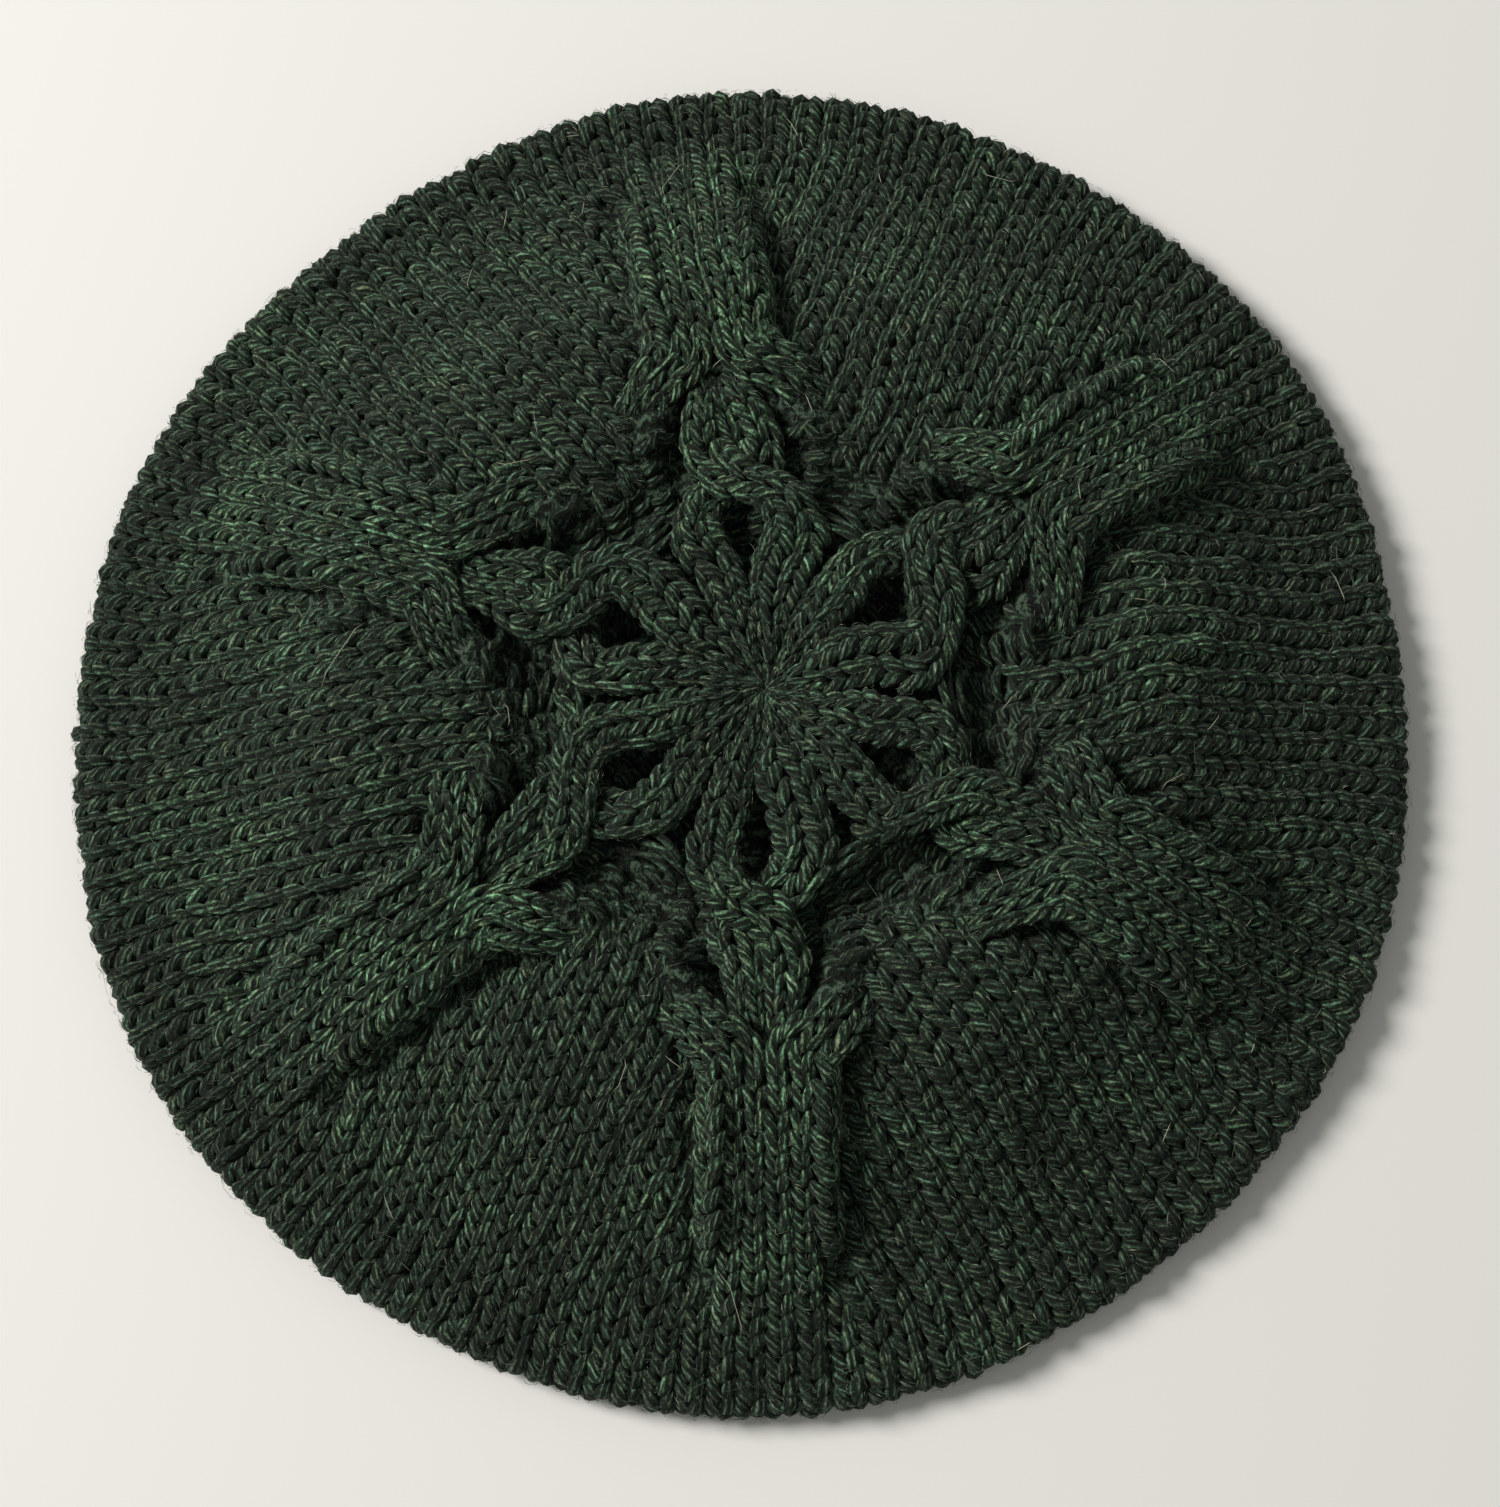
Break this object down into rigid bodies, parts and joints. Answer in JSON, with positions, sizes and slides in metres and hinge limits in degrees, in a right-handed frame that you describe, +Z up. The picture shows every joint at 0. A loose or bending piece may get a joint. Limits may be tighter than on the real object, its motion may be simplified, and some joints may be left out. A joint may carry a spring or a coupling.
{
  "type": "tam o shanter",
  "caption": "Hand-knitted wool tam o shanter lying crown up, with a wide round crown, a raised star of cables, a folded rim and a ribbed head band.",
  "frame": {"origin": "on the table, under the middle of the rim's footprint", "axes": "+Z up out of the crown, +Y towards the arm of the cable star that points away from the viewer in the picture, +X to the picture's right"},
  "size_m": [0.257, 0.263, 0.0321],
  "materials": {
    "knitted_wool": "heathered dark bottle-green plied wool in stocking stitch with cables, soft and matte with loose fibres",
    "ribbed_wool": "the same dark bottle-green wool in stretchy ribbing, matte"
  },
  "bodies": {
    "root": {"crown_shell": "knitted_wool", "rib_band": "ribbed_wool"}
  },
  "joints": []
}
